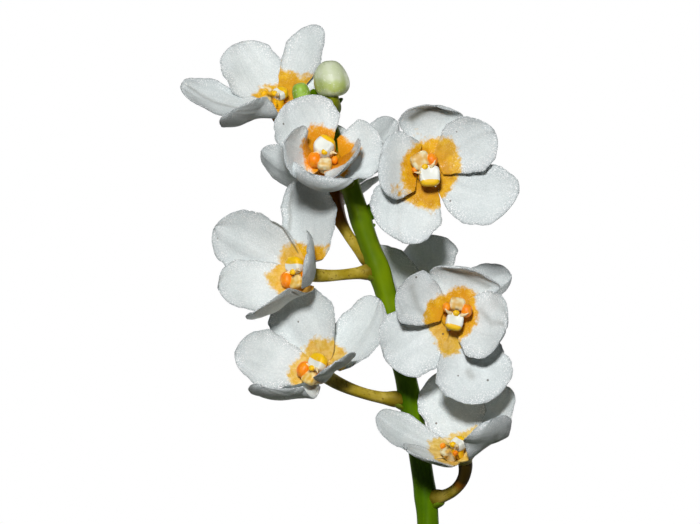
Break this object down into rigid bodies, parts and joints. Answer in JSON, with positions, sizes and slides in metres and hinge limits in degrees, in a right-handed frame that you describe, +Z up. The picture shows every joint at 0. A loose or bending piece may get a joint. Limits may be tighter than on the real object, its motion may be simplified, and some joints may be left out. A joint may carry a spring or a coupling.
{
  "type": "potted sarcochilus orchid",
  "caption": "Small orchid in flower: an arching spray of white flowers with amber and yellow centres above strap leaves, growing in bark in a plain round pot",
  "frame": {"origin": "the middle of the flat underside of the pot", "axes": "+X to the right of someone looking at the front of the spray, +Y away from them, +Z up"},
  "size_m": [0.1933, 0.108, 0.2651],
  "materials": {
    "clay": "matte, fine grained",
    "bark": "rough",
    "leaf": "waxy satin",
    "root": "matt",
    "stem": "satin",
    "tepal": "fine crystalline sheen",
    "lip": "waxy satin",
    "bud": "satin"
  },
  "bodies": {
    "root": {"pot": "clay", "bark": "bark", "growth_1": "leaf", "growth_1_roots": "root", "growth_2": "leaf", "growth_2_roots": "root", "growth_3": "leaf", "growth_3_roots": "root", "flower_stem": "stem", "flower_1_tepals": "tepal", "flower_1_lip": "lip", "flower_2_tepals": "tepal", "flower_2_lip": "lip", "flower_3_tepals": "tepal", "flower_3_lip": "lip", "flower_4_tepals": "tepal", "flower_4_lip": "lip", "flower_5_tepals": "tepal", "flower_5_lip": "lip", "flower_6_tepals": "tepal", "flower_6_lip": "lip", "flower_7_tepals": "tepal", "flower_7_lip": "lip", "flower_8_tepals": "tepal", "flower_8_lip": "lip", "flower_9_tepals": "tepal", "flower_9_lip": "lip", "bud_1": "bud", "bud_2": "bud"}
  },
  "joints": []
}
